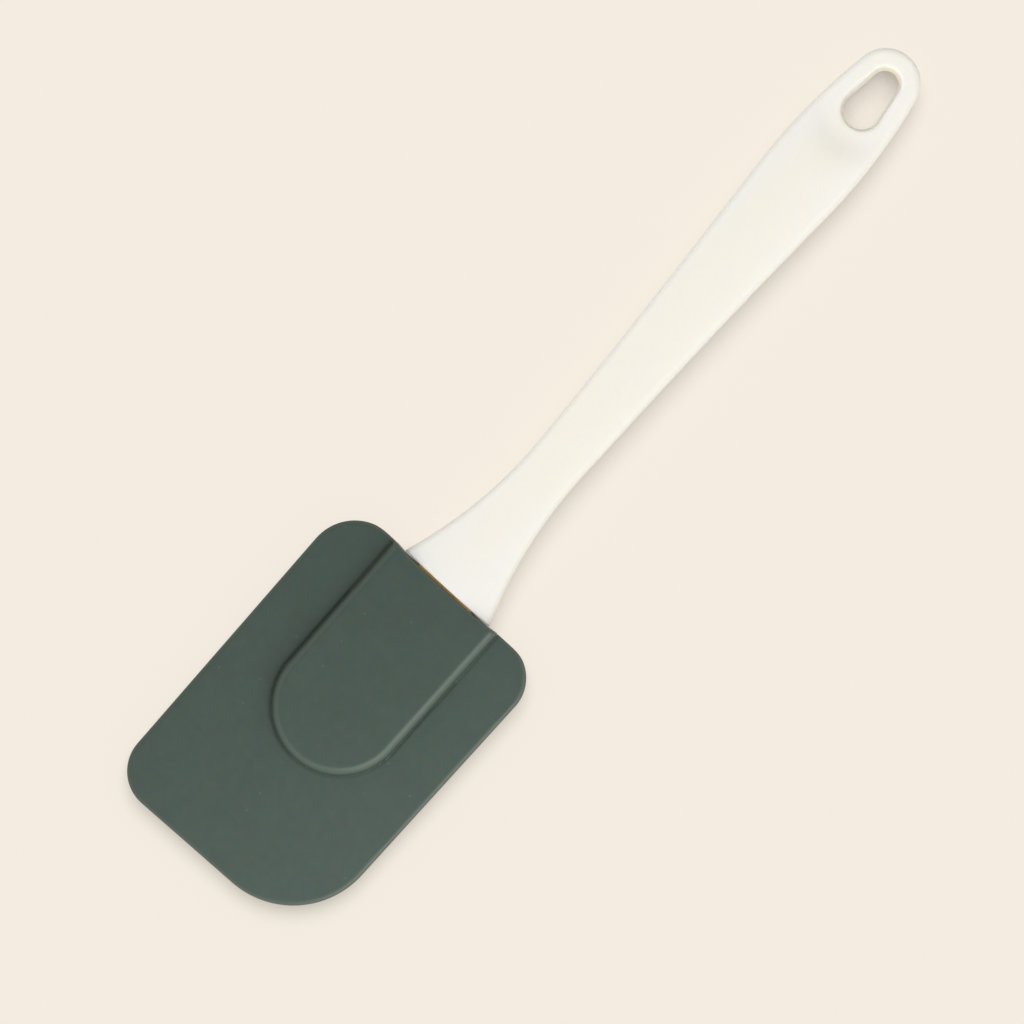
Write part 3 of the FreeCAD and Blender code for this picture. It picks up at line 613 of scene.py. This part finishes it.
def handle_tree():
    inputs = {"Drawing": SHAPE, **{name: FLOAT for name in HANDLE_SIZES}}
    tree, given = new_tree("moulded handle", inputs, {"Mesh": SHAPE})
    place = add(tree, "GeometryNodeInputPosition")
    x, y, z = add(tree, "ShaderNodeSeparateXYZ", [place]).outputs
    index = add(tree, "GeometryNodeInputIndex")
    first = add(tree, "ShaderNodeMath", [index, FIRST_FACE], operation="LESS_THAN")
    chosen = [given["Drawing"], first]
    faces = add(tree, "GeometryNodeSeparateGeometry", chosen, domain="FACE").outputs
    edge = add(tree, "GeometryNodeGroup", [faces["Selection"], place], node_tree=DISTANCE)
    hole = add(tree, "GeometryNodeGroup", [faces["Inverted"], place], node_tree=DISTANCE)
    up = add(tree, "ShaderNodeMath", [z, MIDDLE], operation="SUBTRACT")
    height = add(tree, "ShaderNodeMath", [up], operation="ABSOLUTE")
    # crown: thickest along the centre line, and lower by x * x / (2 * radius) towards the sides
    along = {"Value": y, "From Min": SHOULDER, "From Max": SHOULDER + HANDLE_LENGTH}
    share = add(tree, "ShaderNodeMapRange", along)
    profile = add(tree, "ShaderNodeFloatCurve", {"Value": share})
    points = profile.mapping.curves[0].points
    for place_on, level in HANDLE_PROFILE[1:-1]:
        points.new(place_on, level)
    for point, (place_on, level) in zip(points, HANDLE_PROFILE):
        point.location = (place_on, level)
    profile.mapping.update()
    centre = add(tree, "ShaderNodeMath", [profile, given["Thickest"]], operation="MULTIPLY")
    squared = add(tree, "ShaderNodeMath", [x, x], operation="MULTIPLY")
    fall = add(tree, "ShaderNodeMath", [squared, given["Crown radius"]], operation="DIVIDE")
    crown = add(tree, "ShaderNodeMath", [fall, -0.5, centre], operation="MULTIPLY_ADD")
    # dish: a flat round land, then a gentle cone up to the crown, rounded half as much at its foot
    further = add(tree, "ShaderNodeMath", [y, given["Land centre"]], operation="SUBTRACT")
    from_centre = add(tree, "ShaderNodeCombineXYZ", [x, further])
    radial = add(tree, "ShaderNodeVectorMath", [from_centre], operation="LENGTH").outputs["Value"]
    past = add(tree, "ShaderNodeMath", [radial, given["Land radius"]], operation="SUBTRACT")
    rising = [past, given["Ramp slope"], given["Land level"]]
    cone = add(tree, "ShaderNodeMath", rising, operation="MULTIPLY_ADD")
    foot = add(tree, "ShaderNodeMath", [given["Ramp rounding"], 0.5], operation="MULTIPLY")
    dish = add(tree, "ShaderNodeMath", [cone, given["Land level"], foot], operation="SMOOTH_MAX")
    lower = [crown, dish, given["Ramp rounding"]]
    half = add(tree, "ShaderNodeMath", lower, operation="SMOOTH_MIN")
    plate_sizes = [edge, height, half, given["Edge radius"]]
    plate = add(tree, "GeometryNodeGroup", plate_sizes, node_tree=PLATE)
    # flat end at the shoulder, and a hole that widens to both faces, with rounded lips
    slanted = add(tree, "ShaderNodeMath", [x, JOINT_SLANT, y], operation="MULTIPLY_ADD")
    before = add(tree, "ShaderNodeMath", [SHOULDER, slanted], operation="SUBTRACT")
    ended = [plate, before, given["Shoulder rounding"]]
    body = add(tree, "ShaderNodeMath", ended, operation="SMOOTH_MAX")
    flared = add(tree, "ShaderNodeMath", [height, given["Hole flare"]], operation="MULTIPLY")
    wall = add(tree, "ShaderNodeMath", [flared, hole], operation="SUBTRACT")
    lipped = [body, wall, given["Hole rounding"]]
    pierced = add(tree, "ShaderNodeMath", lipped, operation="SMOOTH_MAX")
    grow(tree, pierced, handle_low, handle_high, polypropylene)
    return tree


handle = finished(handle_drawing, handle_tree(), HANDLE_SIZES, "moulded_handle")
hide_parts("handle")
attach(handle, "grip")

# %% [markdown]
# ## The head's outlines
# The blade has one large corner that fits the curve of a bowl and three small ones. The pad over
# the tongue has straight sides and a full round end, and is turned by a hair, as in the photograph.
# Both could be traced. Each corner is instead an arc of a known radius between two straight edges,
# so a corner can be changed without the others.

# %% Head outlines
LIP = SHOULDER + 0.33 * MM
TIP = head_low.y
HEAD_WIDTH = 61.4 * MM
TIP_LEAN = 1.8 * MM
NEAR_CORNER, FAR_CORNER = 12.0 * MM, 10.0 * MM
TIP_CORNER, SCRAPING_CORNER = 10.0 * MM, 21.8 * MM
PAD_LENGTH, PAD_WIDTH, PAD_END_WIDTH = 52.6 * MM, 32.6 * MM, 32.2 * MM
PAD_TURN = -0.55
PAST_MOUTH = 5.0 * MM


def rounded_corner(before, corner, after, radius):
    """The arc of the given radius that rounds a corner, travelling counter-clockwise."""
    back, ahead = (before - corner).normalized(), (after - corner).normalized()
    half_angle = back.angle(ahead) / 2
    centre = corner + (back + ahead).normalized() * radius / math.sin(half_angle)
    reach = radius / math.tan(half_angle)
    start, end = bearing(centre, corner + back * reach), bearing(centre, corner + ahead * reach)
    return arc(centre, radius, start, end if end > start else end + 360)


def blade_outline():
    half = HEAD_WIDTH / 2
    rise = JOINT_SLANT * half
    corners = [
        (Vector((-half, LIP + rise)), NEAR_CORNER),
        (Vector((-half, TIP)), TIP_CORNER),
        (Vector((half - TIP_LEAN, TIP)), SCRAPING_CORNER),
        (Vector((half, LIP - rise)), FAR_CORNER),
    ]
    points = []
    for i, (corner, radius) in enumerate(corners):
        before, after = corners[i - 1][0], corners[(i + 1) % len(corners)][0]
        points += rounded_corner(before, corner, after, radius)
    return points


def pad_outline():
    half, end = PAD_WIDTH / 2, PAD_END_WIDTH / 2
    turn = Vector((0.0, end - PAD_LENGTH))
    points = arc(turn, end, 180, 360)
    points += [Vector((half, PAST_MOUTH)), Vector((-half, PAST_MOUTH))]
    skew = Matrix.Rotation(math.radians(PAD_TURN), 2)
    return [Vector((0.0, MOUTH)) + skew @ point for point in points]


blade_points, pad_points = blade_outline(), pad_outline()
head_drawing = flat_faces("head_drawing", blade_points, pad_points)
print("blade:", len(blade_points), "points, pad:", len(pad_points), "points")

# %% [markdown]
# ## The silicone head
# The head is one moulding: a thin blade that thins towards the tip, and a thicker pocket pad on
# both faces that takes the tongue. The pad's wall leans a little, so that it leaves the mould, and
# its rim is round. The mouth touches the shoulder at both ends and is scooped between them.
# Subdivision modelling could give such soft forms, but not one even radius all round. Here blade
# and pad are two plates, joined by a smooth minimum, and the socket is the wedge, grown by a hair.

# %% Head tree
HEAD_SIZES = {
    "Root half thickness": 1.8 * MM,
    "Tip half thickness": 0.95 * MM,
    "Blade edge radius": 0.94 * MM,
    "Pad half thickness": (head_high.z - head_low.z) / 2,
    "Pad rim radius": 2.1 * MM,
    "Pad draft": 0.02,
    "Root rounding": 0.35 * MM,
    "Scoop depth": 0.85 * MM,
    "Scoop half width": 16.6 * MM,
    "Mouth rounding": 1.2 * MM,
    "Socket clearance": 0.1 * MM,
}


def head_tree():
    inputs = {"Drawing": SHAPE, **{name: FLOAT for name in HEAD_SIZES}}
    tree, given = new_tree("silicone head", inputs, {"Mesh": SHAPE})
    place = add(tree, "GeometryNodeInputPosition")
    x, y, z = add(tree, "ShaderNodeSeparateXYZ", [place]).outputs
    index = add(tree, "GeometryNodeInputIndex")
    first = add(tree, "ShaderNodeMath", [index, FIRST_FACE], operation="LESS_THAN")
    chosen = [given["Drawing"], first]
    faces = add(tree, "GeometryNodeSeparateGeometry", chosen, domain="FACE").outputs
    blade_edge = add(tree, "GeometryNodeGroup", [faces["Selection"], place], node_tree=DISTANCE)
    pad_edge = add(tree, "GeometryNodeGroup", [faces["Inverted"], place], node_tree=DISTANCE)
    up = add(tree, "ShaderNodeMath", [z, MIDDLE], operation="SUBTRACT")
    height = add(tree, "ShaderNodeMath", [up], operation="ABSOLUTE")
    thinning = {
        "Value": y,
        "From Min": TIP,
        "From Max": MOUTH,
        "To Min": given["Tip half thickness"],
        "To Max": given["Root half thickness"],
    }
    half = add(tree, "ShaderNodeMapRange", thinning)
    blade_sizes = [blade_edge, height, half, given["Blade edge radius"]]
    blade = add(tree, "GeometryNodeGroup", blade_sizes, node_tree=PLATE)
    heights = [height, given["Root half thickness"]]
    above = add(tree, "ShaderNodeMath", heights, operation="SUBTRACT")
    drafted = [above, given["Pad draft"], pad_edge]
    leaning = add(tree, "ShaderNodeMath", drafted, operation="MULTIPLY_ADD")
    pad_sizes = [leaning, height, given["Pad half thickness"], given["Pad rim radius"]]
    pad = add(tree, "GeometryNodeGroup", pad_sizes, node_tree=PLATE)
    joined = [blade, pad, given["Root rounding"]]
    solid = add(tree, "ShaderNodeMath", joined, operation="SMOOTH_MIN")
    # the scoop is 1 less the fourth power of the place across, and leaves the slit at the shoulder
    across = add(tree, "ShaderNodeMath", [x, given["Scoop half width"]], operation="DIVIDE")
    squared = add(tree, "ShaderNodeMath", [across, across], operation="MULTIPLY")
    fourth = add(tree, "ShaderNodeMath", [squared, squared], operation="MULTIPLY")
    hollow = add(tree, "ShaderNodeMath", [1.0, fourth], operation="SUBTRACT")
    scoop = add(tree, "ShaderNodeMath", [hollow, 0.0], operation="MAXIMUM")
    slanted = add(tree, "ShaderNodeMath", [x, JOINT_SLANT, y], operation="MULTIPLY_ADD")
    past_lip = add(tree, "ShaderNodeMath", [slanted, LIP], operation="SUBTRACT")
    scooped = [scoop, given["Scoop depth"], past_lip]
    beyond = add(tree, "ShaderNodeMath", scooped, operation="MULTIPLY_ADD")
    mouth = [solid, beyond, given["Mouth rounding"]]
    ended = add(tree, "ShaderNodeMath", mouth, operation="SMOOTH_MAX")
    tongue = add(tree, "GeometryNodeGroup", [place, given["Socket clearance"]], node_tree=WEDGE)
    outside = add(tree, "ShaderNodeMath", [tongue, -1.0], operation="MULTIPLY")
    socketed = add(tree, "ShaderNodeMath", [ended, outside], operation="MAXIMUM")
    top = LIP + JOINT_SLANT * HEAD_WIDTH / 2
    grow(tree, socketed, head_low, Vector((head_high.x, top, head_high.z)), silicone)
    return tree


head = finished(head_drawing, head_tree(), HEAD_SIZES, "silicone_blade")
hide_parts("silicone_head")
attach(head, "head")

# %% [markdown]
# ## Camera
# The photograph looks nearly straight down, from so far away that the outline hardly changes with
# height. An orthographic camera would come close. A long lens from far off also shows the little
# of the sides that the photograph shows. The spatula's length runs from lower left to upper right.

# %% Camera
FIELD = 240.15 * MM
CAMERA_DISTANCE = 1200.0 * MM
CAMERA_LEAN = 38.0 * MM
SENSOR_MM = 36.0
CLIP_END = 100.0
LOOK_AT = Vector((-0.06 * MM, -16.37 * MM, MIDDLE))
PICTURE_RIGHT = Vector((0.75414, 0.65672, 0.0))

camera = bpy.data.objects.new("camera", bpy.data.cameras.new("camera"))
bpy.context.scene.collection.objects.link(camera)
camera.location = LOOK_AT + Vector((CAMERA_LEAN, 0.0, CAMERA_DISTANCE))
backwards = (camera.location - LOOK_AT).normalized()
across = (PICTURE_RIGHT - backwards * PICTURE_RIGHT.dot(backwards)).normalized()
upwards = backwards.cross(across)
camera.rotation_euler = Matrix((across, upwards, backwards)).transposed().to_euler()
camera.data.sensor_width = SENSOR_MM
camera.data.lens = SENSOR_MM * (camera.location - LOOK_AT).length / FIELD
camera.data.clip_end = CLIP_END
bpy.context.scene.camera = camera
print(f"lens {camera.data.lens:.0f} mm")

# %% [markdown]
# ## Floor
# The spatula lies on plain cream paper. A white floor under one lamp would do, but would get uneven
# and take a shadow that is too dark. So a part of the paper's tone is given to the camera directly,
# which holds the background even and leaves the shadow as light as it is in the photograph. The
# paper itself is darker than it looks, under a stronger lamp, so that the light from the sky adds
# less to the shadow and it keeps its shape.

# %% Floor
FLOOR_SIZE = 6.0
STEADY_SHARE = 0.61
PAPER_DEPTH = 2.0
# painted shade where the floor is closed in: how far it looks, and the openness below which the
# steady tone fades
CREVICE = 12.0 * MM
CLOSED_IN = 0.33
CREAM = linear("#F4ECE0")


def seen(tree):
    """1 for what the camera sees, straight, mirrored or through a clear piece, and else 0."""
    ray = add(tree, "ShaderNodeLightPath").outputs
    views = [ray["Is Camera Ray"], ray["Is Glossy Ray"]]
    mirrored = add(tree, "ShaderNodeMath", views, operation="MAXIMUM")
    return add(tree, "ShaderNodeMath", [mirrored, ray["Is Transmission Ray"]], operation="MAXIMUM")


def cream_paper():
    material, tree = new_material("cream_paper")
    darker = [channel / PAPER_DEPTH for channel in CREAM[:3]] + [1.0]
    paper = add(tree, "ShaderNodeBsdfDiffuse", [darker])
    # painted shade: deep in the slit, and a little in the hang hole, the steady tone is dimmed
    # where it is closed in, as the light is
    reach = {"Distance": CREVICE}
    open_air = add(tree, "ShaderNodeAmbientOcclusion", reach, samples=OCCLUSION_RAYS).outputs["AO"]
    glow = add(tree, "ShaderNodeMapRange", {"Value": open_air, "From Max": CLOSED_IN})
    steady = add(tree, "ShaderNodeEmission", [CREAM, glow])
    share = add(tree, "ShaderNodeMath", [seen(tree), STEADY_SHARE], operation="MULTIPLY")
    shader = add(tree, "ShaderNodeMixShader", [share, paper, steady])
    add(tree, "ShaderNodeOutputMaterial", [shader])
    return material


floor_mesh = bpy.data.meshes.new("floor")
reach = FLOOR_SIZE / 2
corners = [(-reach, -reach, 0.0), (reach, -reach, 0.0), (reach, reach, 0.0), (-reach, reach, 0.0)]
floor_mesh.from_pydata(corners, [], [range(4)])
floor_mesh.materials.append(cream_paper())
floor = bpy.data.objects.new("floor", floor_mesh)
bpy.context.scene.collection.objects.link(floor)
print(f"floor {FLOOR_SIZE:.0f} m square, {floor_mesh.materials[0].name}")

# %% [markdown]
# ## Lamps
# In the photograph the shadow falls straight down the picture, while handle and head are brightest
# from below and from the lower right. One set of lamps for all can't give that. Through light
# linking, one lamp lights only the floor, three only the handle and its core, and two softboxes
# only the head, whose rounded rim mirrors them as a soft gleam.

# %% Lamp helpers
SUN_DISTANCE = 1.0
head_middle = (head_low + head_high) / 2


def lit(name, *pieces):
    """The group of pieces that a lamp shines on."""
    group = bpy.data.collections.new(name)
    for piece in pieces:
        group.objects.link(piece)
    return group


def place_lamp(lamp, towards, distance, lights):
    holder = bpy.data.objects.new(lamp.name, lamp)
    bpy.context.scene.collection.objects.link(holder)
    holder.location = head_middle + towards * distance
    holder.rotation_euler = towards.to_track_quat("Z", "Y").to_euler()
    holder.visible_camera = False
    holder.light_linking.receiver_collection = lights


def aim(side, elevation):
    """The direction that is raised from the level direction side, in degrees."""
    lean = math.radians(elevation)
    return side * math.cos(lean) + Vector((0.0, 0.0, math.sin(lean)))


def sun(name, side, elevation, softness, level, lights, colour="#FFFFFF"):
    """A far lamp; at level 1 a flat surface shows its own colour, whatever the elevation."""
    lamp = bpy.data.lights.new(name, "SUN")
    lamp.color = linear(colour)[:3]
    towards = aim(side, elevation)
    lamp.energy = math.pi * level / towards.z
    lamp.angle = math.radians(softness)
    place_lamp(lamp, towards, SUN_DISTANCE, lights)


def softbox(name, side, elevation, distance, size, level, lights):
    """A square lamp near the head; the level is that of a sun, in the middle of the head."""
    lamp = bpy.data.lights.new(name, "AREA")
    towards = aim(side, elevation)
    lamp.energy = math.pi**2 * level * distance**2 / towards.z
    lamp.size = size
    place_lamp(lamp, towards, distance, lights)


print("lamps are aimed at", [round(c / MM, 1) for c in head_middle], "mm")

# %% Lamps
RIGHT, LEFT = Vector((1.0, 0.0, 0.0)), Vector((-1.0, 0.0, 0.0))
TIPWARD = Vector((0.0, -1.0, 0.0))
FAR_LEFT, NEAR_RIGHT = Vector((-0.5, 0.866, 0.0)), Vector((0.985, -0.174, 0.0))
AMBIENT = 0.4
COOL_WHITE = "#E4ECFF"

on_handle, on_head = lit("lit_handle", handle, core), lit("lit_head", head)
on_floor = lit("lit_floor", floor)
paper_level = PAPER_DEPTH - AMBIENT
sun("floor_light", FAR_LEFT, elevation=65, softness=46, level=paper_level, lights=on_floor)
sun("handle_top_light", TIPWARD, elevation=52, softness=100, level=0.45, lights=on_handle)
sun("handle_key_light", RIGHT, elevation=42, softness=50, level=0.13, lights=on_handle)
sun(
    "handle_fill_light", LEFT, elevation=15, softness=50, level=0.02, lights=on_handle,
    colour=COOL_WHITE,
)
softbox(
    "head_tip_light", TIPWARD, elevation=55, distance=0.2, size=0.2, level=0.12, lights=on_head
)
softbox(
    "head_key_light", NEAR_RIGHT, elevation=45, distance=0.23, size=0.22, level=0.5,
    lights=on_head,
)

# %% [markdown]
# ## Sky
# An even white sky fills the shadows from all round, as the walls of a bright room do. A picture of
# a room could light the scene instead, but would bring its own colours along. Where the camera, or
# a mirror image, looks past the floor, the sky shows the paper's cream instead of white.

# %% Sky
world = bpy.data.worlds.new("studio")
world.use_nodes = True
air = world.node_tree
air.nodes.clear()
shown = seen(air)
strength = add(air, "ShaderNodeMapRange", {"Value": shown, "To Min": AMBIENT, "To Max": 1.0})
tints = {SHARE: shown, FROM: linear("#FFFFFF"), TO: CREAM}
tint = add(air, "ShaderNodeMix", tints, data_type="RGBA").outputs[MIXED]
sky = add(air, "ShaderNodeBackground", [tint, strength])
add(air, "ShaderNodeOutputWorld", [sky])
bpy.context.scene.world = world
bpy.context.scene.view_settings.view_transform = "Standard"
print("sky at", AMBIENT, "of white")

# %% [markdown]
# ## Last update
# The view layer is brought up to date once more.

# %% Last update
bpy.context.view_layer.update()
